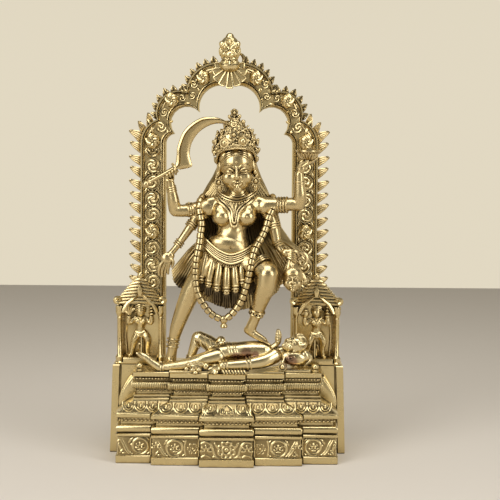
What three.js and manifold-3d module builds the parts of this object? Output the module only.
// A cast brass Kali standing on a reclining Shiva, under a flaming arch, on a stepped plinth.
// Millimetres, +Z up, front towards -Y. The origin is under the middle of the plinth, on the floor.
import * as THREE from "three";
import { mergeVertices } from "three/addons/utils/BufferGeometryUtils.js";
import Module from "manifold-3d";

const wasm = await Module();
wasm.setup();

// Plinth: a plain box behind, and a five-bay front of two stages before it
const BOX_FOOT_WIDTH = 244;
const BOX_TOP_WIDTH = 238;
const BOX_DEPTH = 44;
const FRONT_PROJECTION = 64;
const CENTRE_BAY_EDGE = 27.5;
const SECOND_BAY_EDGE = 76;
const BAY_STEP = 8;
const UPPER_BAY_STEP = 6;
const UPPER_BAY_NARROWING = [9, 18.5, 17];
const UPPER_SETBACK = 11;
const CORNER_STRIP = 7;
const PANEL_GROOVE = 1.6;

// Courses of the front from the floor up, and how far the sunk ones stand back
const FOOT_COURSE = 8;
const FRIEZE_COURSE = 19;
const FILLET_COURSE = 4;
const TORUS_COURSE = 7.6;
const NECK_COURSE = 8.2;
const LIP_COURSE = 3.8;
const LOTUS_COURSE = 12.4;
const UPPER_FILLET_COURSE = 6;
const DENTIL_COURSE = 6.8;
const RIBBED_TORUS_COURSE = 6.6;
const BEAD_COURSE = 4.6;
const SLAB_COURSE = 5;
const FRIEZE_SUNK = 1.2;
const TORUS_BULGE = 1.8;
const NECK_SUNK = 5;
const DENTIL_SUNK = 3.4;
const BEAD_SUNK = 2.4;
const PETAL_LENGTH = 15;
const PETAL_RELIEF = 2.6;
const PETALS_PER_BAY = [3, 3, 2];
const FRIEZE_RELIEF = 1.1;
const ROUNDEL_RADIUS = 7.4;
const KNOB_RADIUS = 3.8;
const KNOB_HEIGHT = 9;
const KNOB_INSET = 6.5;

// Shrines at the arch's feet, each with an attendant
const SHRINE_WIDTH = 51;
const SHRINE_DEPTH = 22;
const SHRINE_SETBACK = 2;
const SHRINE_LEDGE = 2.5;
const SHRINE_WALL_HEIGHT = 64;
const SHRINE_ROOF_HEIGHT = 24;
const SHRINE_BACK_WALL = 8;
const SHRINE_FLOOR = 5;
const SHRINE_COLUMN_WIDTH = 5;
const ROOF_RIBS = 5;
const ATTENDANT_HEIGHT = 58;

// Arch: counted from the plinth's top and from the arch's own front face
const ARCH_SETBACK = 8;
const ARCH_THICKNESS = 10;
const ARCH_FIELD_SUNK = 2;
const ARCH_RIM_WIDTH = 3;
const PILLAR_WIDTH = 26.5;
const PILLAR_TOP = 228.6;
const LOBE_STEPS = 4;
const FLAME_LENGTH = 17;
const FLAME_WIDTH = 9;
const FLAME_SPACING = 12.8;
const FLAME_LEAN = 34;
const CREST_FLAME_LENGTH = 6.5;
const CREST_FLAME_WIDTH = 6;
const CREST_FLAME_SPACING = 12;
const FLAME_THICKNESS = 5;
const FLAME_SINK = 2.5;
const ROSETTE_RADIUS = 8;
const ROSETTE_INSET = 9.5;
const SCROLL_RADIUS = 6.6;
const ORNAMENT_RELIEF = 2.4;
const ORNAMENT_PITCH = 17;
const ROSETTE_EVERY = 5;
const LOBE_ROSETTE_ANGLE = 56;
const MASK_HEIGHT = 34;
const MASK_SINK = 4;
const MASK_HALF_WIDTH = 11;

// Figures: each is drawn in so many drawing units, from end to end, and follows its own size
const CROWN_ROOM = 22;
const KALI_DRAWING_UNITS = 265;
const KALI_SETBACK = 16;
const PILLOW_ROOM = 2;
const SHIVA_DRAWING_UNITS = 165;
const SHIVA_INSET = 14;
const FIGURE_CLEARANCE = 0.3;
const GARLAND_BEADS = 14;
const GARLAND_RADIUS = 3.5;
const SKIRT_ARMS = 7;
const HAIR_LOCKS = 4;

const FRONT_Y = -(FRONT_PROJECTION + BOX_DEPTH) / 2;
const BACK_Y = -FRONT_Y;
const BOX_FRONT_Y = BACK_Y - BOX_DEPTH;
const LOWER_BAY_EDGES = [CENTRE_BAY_EDGE, SECOND_BAY_EDGE, BOX_TOP_WIDTH / 2 - CORNER_STRIP];
const UPPER_BAY_EDGES = LOWER_BAY_EDGES.map((x, i) => x - UPPER_BAY_NARROWING[i]);
const UPPER_CORNER_Y = FRONT_Y + UPPER_SETBACK + 2 * UPPER_BAY_STEP;
const KNOB_X = UPPER_BAY_EDGES[2] - KNOB_INSET;
const PILLAR_OUTER = BOX_TOP_WIDTH / 2 - SHRINE_LEDGE - SHRINE_WIDTH / 2;
const PILLAR_INNER = PILLAR_OUTER - PILLAR_WIDTH;
const ARCH_FRONT_Y = BOX_FRONT_Y + ARCH_SETBACK;
const SHRINE_FRONT = SHRINE_SETBACK - ARCH_SETBACK;
const KALI_Y = BOX_FRONT_Y - KALI_SETBACK;
const SHIVA_Y = UPPER_CORNER_Y + SHIVA_INSET;
const SHIVA_LENGTH = 2 * (KNOB_X - KNOB_RADIUS - PILLOW_ROOM);

// The courses as [height, how far it stands back from foot to top, share of the upper plan likewise]
const COURSES = [
  [FOOT_COURSE, [0, 0], [0, 0]],
  [FRIEZE_COURSE, [FRIEZE_SUNK, FRIEZE_SUNK], [0, 0]],
  [FILLET_COURSE, [0, 0], [0, 0]],
  [TORUS_COURSE, [TORUS_BULGE, 0, TORUS_BULGE], [0, 0, 0]],
  [NECK_COURSE, [NECK_SUNK, NECK_SUNK], [0, 0]],
  [LIP_COURSE, [0, 0], [0, 0]],
  [LOTUS_COURSE, [0, 0], [0, 1]],
  [UPPER_FILLET_COURSE, [0, 0], [1, 1]],
  [DENTIL_COURSE, [DENTIL_SUNK, DENTIL_SUNK], [1, 1]],
  [RIBBED_TORUS_COURSE, [TORUS_BULGE, 0, TORUS_BULGE], [1, 1, 1]],
  [BEAD_COURSE, [BEAD_SUNK, BEAD_SUNK], [1, 1]],
  [SLAB_COURSE, [0, 0], [1, 1]],
];
const LOTUS_ROW = 6;
const PLINTH_HEIGHT = footOf(COURSES.length);

function footOf(course) {
  return COURSES.slice(0, course).reduce((sum, [tall]) => sum + tall, 0);
}

function degrees(angle) {
  return THREE.MathUtils.degToRad(angle);
}

// A three.js geometry as a solid that can be joined and cut
function solid(geometry) {
  const bare = new THREE.BufferGeometry();
  bare.setAttribute("position", geometry.getAttribute("position"));
  bare.setIndex(geometry.index);
  const merged = mergeVertices(bare, 1e-3);
  return new wasm.Manifold(
    new wasm.Mesh({
      numProp: 3,
      vertProperties: new Float32Array(merged.attributes.position.array),
      triVerts: new Uint32Array(merged.index.array),
    }),
  );
}

function geometryOf(made) {
  const mesh = made.getMesh();
  const geometry = new THREE.BufferGeometry();
  geometry.setAttribute("position", new THREE.BufferAttribute(new Float32Array(mesh.vertProperties), 3));
  geometry.setIndex(new THREE.BufferAttribute(new Uint32Array(mesh.triVerts), 1));
  return geometry;
}

function shifted(made, offset) {
  return solid(geometryOf(made).translate(...offset));
}

function scaled(made, factor) {
  return solid(geometryOf(made).scale(factor, factor, factor));
}

function join(solids) {
  return solids.reduce((whole, piece) => whole.add(piece));
}

// Moves every vertex of a geometry with a function from Vector3 to Vector3
function shapeVertices(geometry, move) {
  const position = geometry.getAttribute("position");
  for (let i = 0; i < position.count; i += 1) {
    const moved = move(new THREE.Vector3().fromBufferAttribute(position, i));
    position.setXYZ(i, moved.x, moved.y, moved.z);
  }
  return geometry;
}

// A tube through stations [x, y, z, radius, depth radius]; the depth radius lies nearest to Y
function limb(stations, sides = 6) {
  const centres = stations.map((s) => new THREE.Vector3(s[0], s[1], s[2]));
  const last = stations.length - 1;
  const frames = stations.map((s, i) => {
    const from = centres[Math.max(0, i - 1)];
    const to = centres[Math.min(last, i + 1)];
    const along = to.clone().sub(from).normalize();
    const back = Math.abs(along.y) > 0.9 ? new THREE.Vector3(0, 0, 1) : new THREE.Vector3(0, 1, 0);
    const across = back.clone().cross(along).normalize();
    return { across, deep: along.clone().cross(across).normalize() };
  });
  const tube = new THREE.CylinderGeometry(1, 1, 1, sides, last);
  return solid(
    shapeVertices(tube, (v) => {
      const i = Math.round((0.5 - v.y) * last);
      const [, , , wide, deep = wide] = stations[i];
      return centres[i]
        .clone()
        .addScaledVector(frames[i].across, v.x * wide)
        .addScaledVector(frames[i].deep, v.z * deep);
    }),
  );
}

// Stations with a swelling band at each [place along the list, half length, growth]
function banded(stations, bands) {
  const between = (u) => {
    const i = Math.min(Math.floor(u), stations.length - 2);
    return stations[i].map((value, k) => value + (stations[i + 1][k] - value) * (u - i));
  };
  const rows = stations.map((station, i) => [i, station]);
  for (const [place, half, growth] of bands) {
    const [before, after] = [place - half, place + half];
    const swollen = between(place).map((value, k) => (k < 3 ? value : value + growth));
    const kept = rows.filter(([i]) => i < before || i > after);
    rows.splice(0, rows.length, ...kept);
    rows.push([before, between(before)], [place, swollen], [after, between(after)]);
  }
  return rows.sort((a, b) => a[0] - b[0]).map(([, station]) => station);
}

function ball(centre, radii, around = 8, down = 6, turn = [0, 0, 0]) {
  const sphere = new THREE.SphereGeometry(1, around, down);
  sphere.rotateX(Math.PI / 2);
  sphere.scale(...radii);
  sphere.applyMatrix4(new THREE.Matrix4().makeRotationFromEuler(new THREE.Euler(...turn)));
  return solid(sphere.translate(...centre));
}

function block(low, high) {
  const size = high.map((h, i) => h - low[i]);
  const middle = high.map((h, i) => (h + low[i]) / 2);
  return solid(new THREE.BoxGeometry(...size).translate(...middle));
}

// A flat outline drawn in X and Z, standing between two depths
function plate(outline, front, back) {
  const shape = new THREE.Shape(outline.map(([x, z]) => new THREE.Vector2(x, z)));
  const flat = new THREE.ExtrudeGeometry(shape, { depth: back - front, bevelEnabled: false });
  return solid(flat.rotateX(Math.PI / 2).translate(0, back, 0));
}

// A turned piece on an upright axis, from a profile of [radius, height], pressed flat in Y by a share
function turned(profile, centre, around = 8, flat = 1) {
  const outline = profile.map(([r, z]) => new THREE.Vector2(r, z));
  const lathe = new THREE.LatheGeometry(outline, around).rotateX(Math.PI / 2).scale(1, flat, 1);
  return solid(lathe.translate(...centre));
}

// A low round boss that faces the front
function boss([x, y, z], radius, relief, around = 5) {
  const disc = new THREE.CylinderGeometry(radius, radius * 0.55, relief * 2, around, 1);
  return solid(disc.translate(x, y, z));
}

function curve(points) {
  return new THREE.CatmullRomCurve3(points.map((p) => new THREE.Vector3(...p)));
}

// The plan of the front stages: drawn in by an inset, and from the lower to the upper by a share
function planAt(inset, share) {
  const edges = LOWER_BAY_EDGES.map((x, i) => x + (UPPER_BAY_EDGES[i] - x) * share - inset);
  const step = BAY_STEP + (UPPER_BAY_STEP - BAY_STEP) * share;
  const front = FRONT_Y + UPPER_SETBACK * share + inset;
  const corners = edges.flatMap((x, i) => [[x, front + i * step], [x, front + (i + 1) * step]]);
  corners[corners.length - 1][1] = BOX_FRONT_Y + CORNER_STRIP / 2;
  return [...corners.map(([x, y]) => [-x, y]).reverse(), ...corners];
}

// The courses as rows of height, inset and share of the upper plan, each row once
function courseRows() {
  const rows = COURSES.flatMap(([tall, insets, shares], course) =>
    insets.map((inset, i) => [footOf(course) + (tall * i) / (insets.length - 1), inset, shares[i]]),
  );
  return rows.filter((row, i) => i === 0 || row.some((value, k) => value !== rows[i - 1][k]));
}

function frontStage() {
  const rows = courseRows();
  const outline = planAt(0, 0);
  const steps = rows.length - 1;
  const shape = new THREE.Shape(outline.map(([x, y]) => new THREE.Vector2(x, y)));
  const prism = new THREE.ExtrudeGeometry(shape, { depth: steps, steps, bevelEnabled: false });
  return solid(
    shapeVertices(prism, (v) => {
      const [height, inset, share] = rows[Math.round(v.z)];
      const corner = outline.findIndex(([x, y]) => Math.hypot(x - v.x, y - v.y) < 1e-3);
      return new THREE.Vector3(...planAt(inset, share)[corner], height);
    }),
  );
}

// The box behind, a little wider at its foot, with a groove inside each corner strip
function plinthBox() {
  const body = new THREE.BoxGeometry(BOX_FOOT_WIDTH, BOX_DEPTH, PLINTH_HEIGHT);
  body.translate(0, (BOX_FRONT_Y + BACK_Y) / 2, PLINTH_HEIGHT / 2);
  shapeVertices(body, (v) => {
    v.x *= 1 + (BOX_TOP_WIDTH / BOX_FOOT_WIDTH - 1) * (v.z / PLINTH_HEIGHT);
    return v;
  });
  const grooves = [-1, 1].map((side) => {
    const x = side * (BOX_TOP_WIDTH / 2 - CORNER_STRIP);
    const half = PANEL_GROOVE / 2;
    const top = PLINTH_HEIGHT - CORNER_STRIP / 2;
    return block(
      [x - half, BOX_FRONT_Y - PANEL_GROOVE, FOOT_COURSE],
      [x + half, BOX_FRONT_Y + PANEL_GROOVE, top],
    );
  });
  return grooves.reduce((whole, groove) => whole.subtract(groove), solid(body));
}

// The five bays: each one's sides and the depth of its face
function bays() {
  return [-2, -1, 0, 1, 2].map((place) => {
    const rank = Math.abs(place);
    const outer = LOWER_BAY_EDGES[rank];
    const inner = rank === 0 ? -outer : LOWER_BAY_EDGES[rank - 1];
    const [left, right] = place < 0 ? [-outer, -inner] : [inner, outer];
    return { left, right, y: FRONT_Y + rank * BAY_STEP, rank, side: Math.sign(place) };
  });
}

// Lotus petals lie on the sloping course
function lotusPetals({ left, right, y, rank, side }) {
  const count = PETALS_PER_BAY[rank];
  const pitch = (right - left) / count;
  const slope = Math.atan2(LOTUS_COURSE, UPPER_SETBACK) - Math.PI / 2;
  const height = footOf(LOTUS_ROW) + LOTUS_COURSE / 2;
  const narrowing = (side * UPPER_BAY_NARROWING[rank]) / 2;
  const size = [pitch * 0.42, PETAL_RELIEF, PETAL_LENGTH / 2];
  return Array.from({ length: count }, (_, i) => {
    const x = left + pitch * (i + 0.5) - narrowing;
    return ball([x, y + UPPER_SETBACK / 2, height], size, 5, 3, [slope, 0, 0]);
  });
}

// A roundel in the middle of each bay's frieze, and a leaf to each side
function friezeRelief({ left, right, y }) {
  const middle = (left + right) / 2;
  const height = FOOT_COURSE + FRIEZE_COURSE / 2;
  const face = y + FRIEZE_SUNK;
  const reach = (right - left) / 2 - ROUNDEL_RADIUS;
  const pieces = [boss([middle, face, height], ROUNDEL_RADIUS, FRIEZE_RELIEF)];
  for (const side of [-1, 1]) {
    const x = middle + side * (ROUNDEL_RADIUS + reach / 2);
    const half = reach * 0.4;
    const rise = ROUNDEL_RADIUS * 0.55;
    const leaf = [[x - half, height - side * rise], [x, height - rise], [x + half, height + side * rise],
      [x, height + rise]];
    pieces.push(plate(leaf, face - FRIEZE_RELIEF, face + FRIEZE_RELIEF));
  }
  return pieces;
}

// Ball-topped knobs at the two front corners of the top
function knobs() {
  const y = UPPER_CORNER_Y + KNOB_RADIUS;
  const z = PLINTH_HEIGHT + KNOB_HEIGHT * 0.4;
  const radii = [KNOB_RADIUS, KNOB_RADIUS, KNOB_HEIGHT * 0.6];
  return [-1, 1].map((side) => ball([side * KNOB_X, y, z], radii, 6, 4));
}

function buildPlinth() {
  return join([
    frontStage(),
    plinthBox(),
    ...knobs(),
    ...bays().flatMap(lotusPetals),
    ...bays().flatMap(friezeRelief),
  ]);
}

// Rows of round lobes over the pillars, in shares of half the arch's width: place, rise and radius
function lobesOf(halfWidth, rows) {
  const size = (share) => share * halfWidth;
  return rows.map(([x, rise, r]) => ({ x: size(x), z: PILLAR_TOP + size(rise), r: size(r) }));
}
const OUTER_LOBES = lobesOf(PILLAR_OUTER, [
  [0.721, 0, 0.279],
  [0.575, 0.336, 0.252],
  [0.131, 0.547, 0.357],
]);
const INNER_LOBES = lobesOf(PILLAR_INNER, [
  [0.851, -0.009, 0.149],
  [0.667, 0.31, 0.26],
  [0.127, 0.56, 0.35],
]);
const CREST_TOP = OUTER_LOBES[2].z + OUTER_LOBES[2].r;
const OPENING_TOP = INNER_LOBES[2].z + INNER_LOBES[2].r;
const ARCH_HEIGHT = CREST_TOP - MASK_SINK + MASK_HEIGHT;
const KALI_HEIGHT = OPENING_TOP - CROWN_ROOM;

// The angles at which a lobe's edge gives way to the next one's, seen from each centre
function meeting(a, b, margin) {
  const [ra, rb] = [a.r + margin, b.r + margin];
  const [dx, dz] = [b.x - a.x, b.z - a.z];
  const distance = Math.hypot(dx, dz);
  const along = (distance ** 2 + ra ** 2 - rb ** 2) / (2 * distance);
  const aside = Math.sqrt(Math.max(0, ra ** 2 - along ** 2));
  const x = a.x + (dx * along + dz * aside) / distance;
  const z = a.z + (dz * along - dx * aside) / distance;
  return [Math.atan2(z - a.z, x - a.x), Math.atan2(z - b.z, x - b.x)];
}

// Each lobe of one side with the angles between which its edge shows
function lobeArcs(lobes, margin) {
  const meetings = lobes.slice(1).map((next, i) => meeting(lobes[i], next, margin));
  return lobes.map(({ x, z, r }, i) => ({
    x,
    z,
    r: r + margin,
    from: i === 0 ? 0 : meetings[i - 1][1],
    to: i === lobes.length - 1 ? Math.PI / 2 : meetings[i][0],
  }));
}

// Both pillars' width and the lobes over them as one slab, all drawn out by a margin
function lobedSlab(lobes, margin, front, back, foot = 0) {
  const edge = lobeArcs(lobes, margin).flatMap(({ x, z, r, from, to }) =>
    Array.from({ length: LOBE_STEPS + 1 }, (_, i) => {
      const angle = from + ((to - from) * i) / LOBE_STEPS;
      return [x + r * Math.cos(angle), z + r * Math.sin(angle)];
    }),
  );
  const right = [[edge[0][0], foot], ...edge];
  return plate([...right, ...right.map(([x, z]) => [-x, z]).reverse()], front, back);
}

function archFrame() {
  const rim = ARCH_RIM_WIDTH;
  const sunk = lobedSlab(OUTER_LOBES, -rim, -rim, ARCH_FIELD_SUNK, -rim);
  const lip = lobedSlab(INNER_LOBES, rim, -2 * rim, ARCH_THICKNESS, -2 * rim);
  const opening = lobedSlab(INNER_LOBES, 0, -rim, ARCH_THICKNESS + rim, -rim);
  return lobedSlab(OUTER_LOBES, 0, 0, ARCH_THICKNESS).subtract(sunk.subtract(lip)).subtract(opening);
}

// Where the flames of one side stand, from the shrine's roof up to the crest
function flamePlaces() {
  const tall = { long: FLAME_LENGTH, wide: FLAME_WIDTH };
  const low = { long: CREST_FLAME_LENGTH, wide: CREST_FLAME_WIDTH };
  const places = [];
  for (let z = SHRINE_WALL_HEIGHT + SHRINE_ROOF_HEIGHT / 2; z < PILLAR_TOP; z += FLAME_SPACING) {
    places.push({ x: PILLAR_OUTER, z, angle: FLAME_LEAN, ...tall });
  }
  for (const [i, { x, z, r, from, to }] of lobeArcs(OUTER_LOBES, 0).entries()) {
    const spacing = i === 0 ? FLAME_SPACING : CREST_FLAME_SPACING;
    const count = Math.round(((to - from) * r) / spacing);
    for (let k = 0; k < count; k += 1) {
      const turn = from + ((to - from) * (k + 0.5)) / count;
      const lean = i === 0 ? FLAME_LEAN : 0;
      const angle = THREE.MathUtils.radToDeg(turn) + lean;
      const foot = { x: x + r * Math.cos(turn), z: z + r * Math.sin(turn) };
      places.push({ ...foot, angle, ...(i === 0 ? tall : low) });
    }
  }
  return places.filter(({ x }) => x > MASK_HALF_WIDTH);
}

// One flame: a blunt leaf that leans upwards, its foot sunk in the rim
function flame({ x, z, angle, long, wide }, side) {
  const half = wide / 2;
  const leaf = [[-FLAME_SINK, -half], [long * 0.8, -half * 0.5], [long, half * 0.6], [-FLAME_SINK, half]];
  const [c, s] = [Math.cos(degrees(angle)), Math.sin(degrees(angle))];
  const placed = leaf.map(([u, v]) => [side * (x + u * c - v * s), z + u * s + v * c]);
  const middle = ARCH_THICKNESS / 2;
  return plate(placed, middle - FLAME_THICKNESS / 2, middle + FLAME_THICKNESS / 2);
}

// Rosettes and scrolls down the pillars from their top, and a rosette on each lobe of the crest
function archOrnament() {
  const x = (PILLAR_OUTER + PILLAR_INNER) / 2;
  const rows = Math.floor((PILLAR_TOP - SHRINE_WALL_HEIGHT - SHRINE_ROOF_HEIGHT) / ORNAMENT_PITCH) + 1;
  const onPillar = Array.from({ length: rows }, (_, i) => ({
    x,
    z: PILLAR_TOP - i * ORNAMENT_PITCH,
    radius: i % ROSETTE_EVERY === 0 ? ROSETTE_RADIUS : SCROLL_RADIUS,
  }));
  const onLobes = lobeArcs(OUTER_LOBES, -ROSETTE_INSET)
    .slice(1)
    .map((lobe) => ({
      x: lobe.x + lobe.r * Math.cos(degrees(LOBE_ROSETTE_ANGLE)),
      z: lobe.z + lobe.r * Math.sin(degrees(LOBE_ROSETTE_ANGLE)),
      radius: ROSETTE_RADIUS,
    }));
  return [-1, 1].flatMap((side) => [
    ...[...onPillar, ...onLobes].map((place) =>
      boss([side * place.x, ARCH_FIELD_SUNK, place.z], place.radius, ORNAMENT_RELIEF),
    ),
    ...flamePlaces().map((place) => flame(place, side)),
  ]);
}

// The crest: a fluted fan, a shell boss and a horned mask that comes to a point
function finial() {
  const half = MASK_HALF_WIDTH;
  const hub = CREST_TOP - MASK_SINK;
  const flutes = [-54, -18, 18, 54].map((angle) => {
    const [dx, dz] = [Math.sin(degrees(angle)), -Math.cos(degrees(angle))];
    return limb([[dx * 4, 2, hub + dz * 4, 2, 3], [dx * 21, 1, hub + dz * 21, 3.8, 3.6]], 4);
  });
  const [ears, brow] = [ARCH_HEIGHT - 12, ARCH_HEIGHT - 5];
  const mask = [[-half * 0.9, hub], [half * 0.9, hub], [half * 1.05, ears], [half * 0.45, brow],
    [0, ARCH_HEIGHT], [-half * 0.45, brow], [-half * 1.05, ears]];
  return [
    ...flutes,
    plate(mask, -1, ARCH_THICKNESS - 1),
    ball([0, 0, hub], [half, 5, 7.5], 7, 4),
    ball([0, -1, hub + 13], [half * 0.75, 4.5, 6], 7, 4),
    ball([0, -1, hub + 24], [half * 0.55, 3.5, 6], 6, 4),
  ];
}

// A shrine: a floor, a back wall, two columns and a gable roof of ribs
function shrine(side) {
  const middle = side * PILLAR_OUTER;
  const half = SHRINE_WIDTH / 2;
  const front = SHRINE_FRONT;
  const back = front + SHRINE_DEPTH;
  const eaves = SHRINE_WALL_HEIGHT;
  const wide = SHRINE_COLUMN_WIDTH;
  const columns = [-1, 1].map((end) => {
    const x = middle + end * (half - wide / 2);
    return block([x - wide / 2, front, 0], [x + wide / 2, back, eaves]);
  });
  const rise = SHRINE_ROOF_HEIGHT / ROOF_RIBS;
  const ribs = Array.from({ length: ROOF_RIBS }, (_, i) => {
    const low = half * (1 - i / ROOF_RIBS) + 1;
    const high = low - (half / ROOF_RIBS) * 0.5;
    const z = eaves + i * rise;
    const top = z + rise + 0.5;
    const outline = [[middle - low, z], [middle + low, z], [middle + high, top], [middle - high, top]];
    return plate(outline, front + i, back - 1);
  });
  const lintel = block([middle - half, front, eaves - wide], [middle + half, back, eaves + 0.5]);
  const floor = block([middle - half, front, 0], [middle + half, back, SHRINE_FLOOR]);
  const inner = half - 1;
  const wall = block([middle - inner, back - SHRINE_BACK_WALL, 0], [middle + inner, back - 0.5, eaves]);
  const finialBall = ball([middle, front + 8, eaves + SHRINE_ROOF_HEIGHT], [3.5, 3.5, 4.5], 6, 4);
  return [floor, wall, lintel, ...columns, ...ribs, finialBall];
}

// A small striding attendant with a club and a raised bowl, in shares of its height, turned inwards
function attendant(side) {
  const h = ATTENDANT_HEIGHT;
  const x0 = side * PILLAR_OUTER;
  const y0 = SHRINE_FRONT + SHRINE_DEPTH - SHRINE_BACK_WALL - 0.07 * h;
  const z0 = SHRINE_FLOOR - 0.5;
  const at = (x, y, z, r, d = r) => [x0 + side * x * h, y0 + y * h, z0 + z * h, r * h, d * h];
  const spot = (...place) => at(...place, 0).slice(0, 3);
  const legs = [-1, 1].map((way) =>
    limb([at(way * 0.07, 0, 0.5, 0.09), at(way * 0.16, -0.03, 0.28, 0.07), at(way * 0.22, 0, 0, 0.055)], 4),
  );
  const arms = [-1, 1].map((way) =>
    limb([at(way * 0.1, 0, 0.76, 0.05), at(way * 0.24, -0.03, 0.66, 0.045),
      at(way * 0.28, -0.04, 0.95, 0.06)], 4),
  );
  return [
    limb([at(0, 0, 0.4, 0.12, 0.1), at(0, -0.01, 0.6, 0.09), at(0, -0.02, 0.74, 0.13, 0.09),
      at(0, -0.01, 0.86, 0.05)], 5),
    ball(spot(0, -0.02, 0.92), [0.09 * h, 0.09 * h, 0.1 * h], 5, 4),
    ...legs,
    ...arms,
  ];
}

function buildArch() {
  const shrines = [-1, 1].flatMap((side) => [...shrine(side), ...attendant(side)]);
  return join([archFrame(), ...archOrnament(), ...finial(), ...shrines]);
}

// Kali is drawn from the plinth's top, under the arch's middle
function kaliBody() {
  const torso = limb(
    [[-1, -2, 78, 17, 12], [0, -1, 94, 25, 15], [1, 0, 112, 27, 14], [5, -1, 125, 19, 12],
      [6, -1, 136, 15, 9.5], [7, -1, 150, 22, 11], [8, -1, 162, 30, 10], [8, -2, 169, 24, 8],
      [8, -3, 175, 9.5, 7], [8, -4, 188, 7, 7]],
    8,
  );
  const breasts = [-7, 20].map((x) => ball([x, -10.5, 154], [10.5, 8.5, 10.5], 6, 5));
  return [torso, ...breasts];
}

function kaliLegs() {
  const straight = [[-13, 0, 108, 14.5], [-25, -1, 95, 13.5], [-35, -2, 82, 11.5], [-41.5, -2, 68, 9.3],
    [-48, -1, 48, 8], [-54, 0, 32, 5.4], [-57.5, 1, 18, 5], [-59.5, 1, 0, 6.5]];
  const bent = [[14, -2, 104, 14.5], [30, -12, 104, 13], [40, -22, 98, 11.5], [39, -24, 86, 11],
    [34, -21, 71, 9.6], [27.5, -17, 54, 5.4], [22, -14, 36, 6]];
  const backFoot = [[-58, 5, 3.4, 5.5, 3.4], [-62, -3, 3.6, 6, 3.6], [-66, -9, 2.8, 5.5, 2.8]];
  const frontFoot = [[17, -13, 38, 4.6, 5], [30, -14, 34, 4.4, 5], [43, -15, 27, 2.4, 5.5]];
  return [
    limb(banded(straight, [[5, 0.25, 2]]), 6),
    limb(banded(bent, [[4.7, 0.2, 2.4]]), 6),
    limb(backFoot, 5),
    limb(frontFoot, 5),
  ];
}

// Four arms, each with a band round it
function kaliArms() {
  const withSword = [[-14, 0, 163, 8.5], [-32, -3, 162, 6.8], [-50, -6, 160, 6.2], [-56.5, -8, 174, 5.2],
    [-58, -9, 187, 4.2], [-58.5, -10, 197, 4.6]];
  const withBowl = [[32, 0, 162, 8.5], [48, -3, 168, 6.8], [68, -4, 170, 6.4], [72.5, -6, 182, 5.4],
    [71, -7, 194, 4.2], [70, -8, 204, 4.4]];
  const open = [[-16, 1, 154, 7.5], [-33, -3, 147, 6.4], [-45, -6, 139, 5.4], [-59, -9, 126, 4.4]];
  const withHead = [[36, 1, 158, 7.5], [47, -1, 146, 6.4], [50, -4, 134, 6], [56, -8, 122, 4.6],
    [63, -10, 112, 4.6]];
  return [
    limb(banded(withSword, [[1.3, 0.15, 2]]), 5),
    limb(banded(withBowl, [[1.3, 0.15, 2]]), 5),
    limb(banded(open, [[2.5, 0.2, 1.6]]), 5),
    limb(banded(withHead, [[2.9, 0.25, 1.6]]), 5),
  ];
}

function kaliHands() {
  const openHand = limb([[-58, -9, 128, 4.4, 4], [-62.5, -10, 116, 6.2, 3.6], [-65, -10.5, 107, 5.4, 3],
    [-66, -11, 94, 2.6, 2]], 5);
  const bowlPalm = limb([[70, -8, 203, 4.2], [78, -9, 209, 4.2, 5], [90, -9, 218, 1.8, 3]], 5);
  return [
    openHand,
    bowlPalm,
    ball([-58.5, -11.5, 200], [6.5, 6, 6.5], 6, 4),
    ball([65, -11, 112], [6, 5.5, 6], 6, 4),
  ];
}

// The curved sword: its blade's edges stand off a spine by a width that narrows to the tip
function sword() {
  const spine = curve([[-44, 0, 207], [-45, 0, 226], [-37, 0, 243], [-21, 0, 251.5], [-7, 0, 251],
    [7, 0, 243]]);
  const steps = 8;
  const edge = (side) =>
    Array.from({ length: steps + 1 }, (_, i) => {
      const t = i / steps;
      const half = (side * (14.5 - 12 * t ** 1.6)) / 2;
      const along = spine.getTangent(t);
      const place = spine.getPoint(t);
      return [place.x + along.z * half, place.z - along.x * half];
    });
  const blade = plate([...edge(1), ...edge(-1).reverse()], -15.5, -12.5);
  const grip = limb([[-88, -13, 186, 2.5], [-84, -13, 188, 5.4], [-79, -13, 190.5, 2.6],
    [-57, -13, 201.5, 2.4], [-53, -13.5, 203.5, 5.4], [-50, -14, 205, 5], [-44, -14, 208, 3]], 5);
  return [blade, grip];
}

function bowl() {
  const profile = [[0, 0], [4.5, 0], [9.5, 6], [12, 11], [9, 12.4], [5.5, 15.5], [0, 17]];
  return turned(profile, [79.5, -9, 212.5], 7);
}

function severedHead() {
  const [x, y, z] = [66.5, -12, 91];
  return [
    ball([x, y, z], [10.5, 9.5, 12.5], 6, 4),
    limb([[x, y, z + 8, 6], [x, y + 1, z + 24, 3.2]], 5),
    ball([x + 5, y + 4, z - 4], [9, 6, 12], 5, 4),
  ];
}

function kaliHead() {
  const [x, y, z] = [8.5, -7, 204];
  const crown = [[0, -2], [23.5, -2], [26, 8], [25, 20], [18, 31], [7, 38], [0, 48]];
  const plaques = [-60, -20, 20, 60].map((angle) => {
    const turn = degrees(angle);
    const place = [x + 23.5 * Math.sin(turn), y + 3 - 16.5 * Math.cos(turn), z + 25];
    return ball(place, [6.5, 4.5, 9], 5, 3, [0, 0, turn]);
  });
  const earrings = [-1, 1].map((side) =>
    limb([[x + side * 17.5, y + 1, z + 2, 2.4], [x + side * 17.5, y - 1, z - 17, 4.2],
      [x + side * 16.5, y - 2, z - 24, 1.6]], 4),
  );
  return [
    ball([x, y, z + 1], [18, 16, 21.5], 7, 6),
    limb([[x, y - 13, z + 3, 2], [x, y - 16, z - 7, 3.2]], 4),
    turned(crown, [x - 0.5, y + 3, z + 13], 8, 0.72),
    ...plaques,
    ...earrings,
  ];
}

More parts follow.
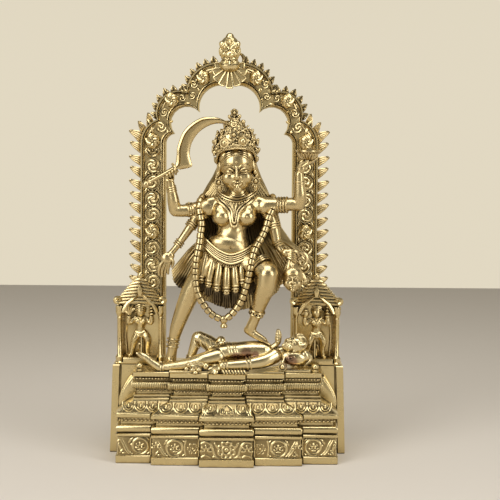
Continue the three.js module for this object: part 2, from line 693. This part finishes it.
// Hair falls behind her in a wide cape, ridged by locks from the head to the hem
function hair() {
  const hem = [[33, 186], [49, 162], [53, 140], [60, 126], [84, 110], [82, 100], [56, 84], [44, 68],
    [24, 58], [4, 56], [-14, 62], [-34, 74], [-53, 80], [-56, 90], [-40, 120], [-31, 146], [-32, 164],
    [-16, 186]];
  const cape = plate(hem.reverse(), 5, 11);
  const locks = Array.from({ length: HAIR_LOCKS }, (_, i) => {
    const share = (2 * i) / (HAIR_LOCKS - 1) - 1;
    const [top, foot] = [8 + share * 20, 3 + share * 44];
    const drop = 64 + Math.abs(share) * 16;
    return limb([[top, 8, 184, 3], [(top + foot) / 2 - 2, 9, 130, 5], [foot, 8.5, drop + 6, 4.5]], 4);
  });
  return [cape, ...locks, limb([[8, 4, 174, 22, 6], [8, 4, 200, 21, 9], [8, 3, 220, 20, 9]], 6)];
}

// A broad belt sags from hip to hip, and severed arms hang from it as a skirt
function skirt() {
  const sag = (x) => 106 + (x / 26) ** 2 * 14;
  const belt = [-27, -14, 0, 14, 27].map((x) => [x, -12.5 + (x / 27) ** 2 * 9, sag(x) + 3, 5.5]);
  const arms = Array.from({ length: SKIRT_ARMS }, (_, i) => {
    const share = (2 * i) / (SKIRT_ARMS - 1) - 1;
    const x = share * 23;
    const y = -16 + share * share * 6;
    const [top, tip] = [sag(x), 60 + share * share * 19];
    const length = top - tip;
    return limb([[x, y + 4, top, 3.6], [x * 1.05, y - 1.5, top - length * 0.45, 3.9],
      [x * 1.1, y - 2.5, tip + length * 0.24, 3], [x * 1.12, y - 2, tip, 2]], 4);
  });
  return [limb(belt, 6), ...arms];
}

// The garland: a string whose radius swells at each bead, and a pendant at its lowest point
function garland() {
  const path = curve([[-24, -4, 171], [-27.5, -11, 158], [-28, -15, 133], [-30, -17, 110],
    [-31, -19, 86], [-27, -21, 70], [-16, -23, 57], [-3, -24, 52], [10, -23, 59], [19, -22, 83],
    [26, -22, 110], [33, -15, 138], [41, -10, 160], [42, -4, 170]]);
  const stations = Array.from({ length: GARLAND_BEADS * 2 + 1 }, (_, i) => {
    const { x, y, z } = path.getPointAt(i / (GARLAND_BEADS * 2));
    return [x, y, z, GARLAND_RADIUS * (i % 2 ? 1.05 : 0.68)];
  });
  const pendant = limb([[-4, -23, 55, 3], [-4, -24, 50, 4.4], [-4, -24, 46, 3.4]], 5);
  return [limb(stations, 4), pendant];
}

function buildKali() {
  return join([
    ...kaliBody(),
    ...kaliLegs(),
    ...kaliArms(),
    ...kaliHands(),
    ...sword(),
    bowl(),
    ...severedHead(),
    ...kaliHead(),
    ...hair(),
    ...skirt(),
    ...garland(),
  ]);
}

// Shiva lies along X with his head to the right, a knee raised and a pillow behind his head
function buildShiva() {
  const trunk = [[-15, 0, 22, 14], [-4, 0, 20.5, 14], [10, 0, 18.5, 13.5], [26, 0, 16, 12.5, 13.5],
    [38, 0, 14, 12.5, 14], [48, 0, 13, 7, 8], [58, 0, 17, 6]];
  const raised = [[-8, 5, 20, 12], [-18, 5, 30, 11], [-26, 5, 33.5, 8.5], [-33, 5, 21, 7], [-37, 5, 3, 5]];
  const lying = [[-12, -5, 14, 11], [-34, -6, 11, 8], [-52, -7, 8, 6], [-70, -7, 5.5, 4.8], [-77, -7, 8, 4],
    [-81, -7, 14, 2.6]];
  const nearArm = [[44, -7, 14, 7], [32, -10, 9, 6], [18, -11, 7.5, 5.6], [-4, -11, 6, 4],
    [-15, -11, 3.5, 3.6]];
  return [
    limb(banded(trunk, [[1.4, 0.2, 1.4]]), 6),
    limb(raised, 5),
    limb(lying, 5),
    limb(banded(nearArm, [[1.9, 0.15, 1.6]]), 5),
    limb([[-36, 5, 3.5, 4.5, 3.5], [-47, 4, 3, 3, 3]], 5),
    limb([[49, 2, 18, 3], [52, 0, 36, 4, 2], [52, -2, 42, 2]], 4),
    ball([65, -1, 21], [11, 10, 11.5], 6, 5),
    ball([71, 1, 29], [8, 8, 6], 5, 4),
    ball([70, 0, 6], [13.5, 11.5, 9], 6, 4),
    ball([-31, -10, 6], [8, 5, 5.5], 5, 4),
    block([-16, -14, 0], [54, 11, 2.5]),
  ];
}

// What lies under the plinth's top is cut away, so that the figures stand on it
function standing(made) {
  const wide = 2 * BOX_FOOT_WIDTH;
  return made.subtract(block([-wide, -wide, -wide], [wide, wide, 0]));
}

// The room that a resting figure keeps clear around itself
function room(made, clearance) {
  const shifts = [0, 1, 2].flatMap((axis) =>
    [-clearance, clearance].map((size) => [0, 1, 2].map((k) => (k === axis ? size : 0))),
  );
  return shifts.reduce((whole, shift) => whole.add(shifted(made, shift)), made);
}

function piece(name, made, place, colour, roughness) {
  const geometry = geometryOf(made);
  geometry.computeVertexNormals();
  const material = new THREE.MeshStandardMaterial({ color: colour, roughness, metalness: 1 });
  const mesh = new THREE.Mesh(geometry, material);
  mesh.name = name;
  mesh.position.set(...place);
  return mesh;
}

const shiva = standing(scaled(join(buildShiva()), SHIVA_LENGTH / SHIVA_DRAWING_UNITS));
const shivaUnderKali = shifted(room(shiva, FIGURE_CLEARANCE), [0, SHIVA_Y - KALI_Y, 0]);
const kali = standing(scaled(buildKali(), KALI_HEIGHT / KALI_DRAWING_UNITS)).subtract(shivaUnderKali);

const statue = new THREE.Group();
statue.add(
  piece("plinth", buildPlinth(), [0, 0, 0], 0xb89a5a, 0.32),
  piece("flaming_arch", buildArch(), [0, ARCH_FRONT_Y, PLINTH_HEIGHT], 0xbfa062, 0.3),
  piece("kali_figure", kali, [0, KALI_Y, PLINTH_HEIGHT], 0xc4a667, 0.28),
  piece("shiva_figure", shiva, [0, SHIVA_Y, PLINTH_HEIGHT], 0xc8ad70, 0.28),
);

export default statue;
